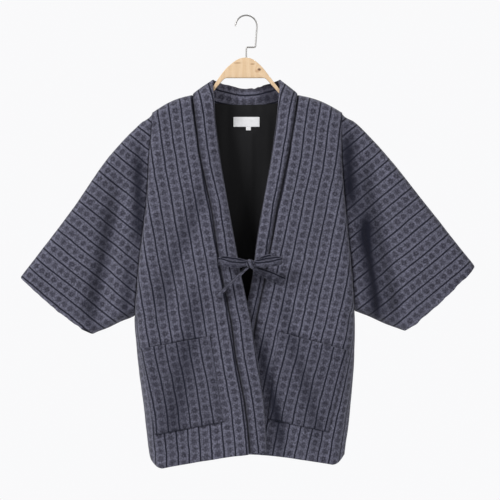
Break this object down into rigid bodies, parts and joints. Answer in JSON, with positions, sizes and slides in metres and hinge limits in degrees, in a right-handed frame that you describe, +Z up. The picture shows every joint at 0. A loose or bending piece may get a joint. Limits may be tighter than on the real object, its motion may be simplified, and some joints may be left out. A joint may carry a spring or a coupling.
{
  "type": "hanten jacket on a hanger",
  "caption": "Padded cotton hanten jacket with wide sleeves, a long collar band, patch pockets and a tied front, hung on a flat wooden hanger with a wire hook.",
  "frame": {"origin": "the inside top of the wire hook, where it bears on a rod", "axes": "+Z up, -Y out of the jacket's front towards the viewer, +X towards the wearer's left sleeve, which is at the viewer's right"},
  "size_m": [0.929, 0.1091, 0.927],
  "materials": {
    "striped_cotton": "matt woven cotton, narrow dark stripes with a column of rosettes between them",
    "lining": "plain black, slightly smooth",
    "label": "plain woven tape, blank",
    "wood": "pale clear-finished board",
    "wire": "bright drawn wire"
  },
  "bodies": {
    "root": {"back": "striped_cotton", "front_right": "striped_cotton", "front_left": "striped_cotton", "sleeve_right": "striped_cotton", "sleeve_left": "striped_cotton", "collar": "striped_cotton", "pocket_right": "striped_cotton", "pocket_left": "striped_cotton", "tie_right": "striped_cotton", "tie_left": "striped_cotton", "tie_loop_right": "striped_cotton", "tie_loop_left": "striped_cotton", "tie_tail_right": "striped_cotton", "tie_tail_left": "striped_cotton", "tie_knot": "striped_cotton", "lining_back": "lining", "label": "label", "size_tab": "label", "hanger_body": "wood", "hanger_hook": "wire"}
  },
  "joints": []
}
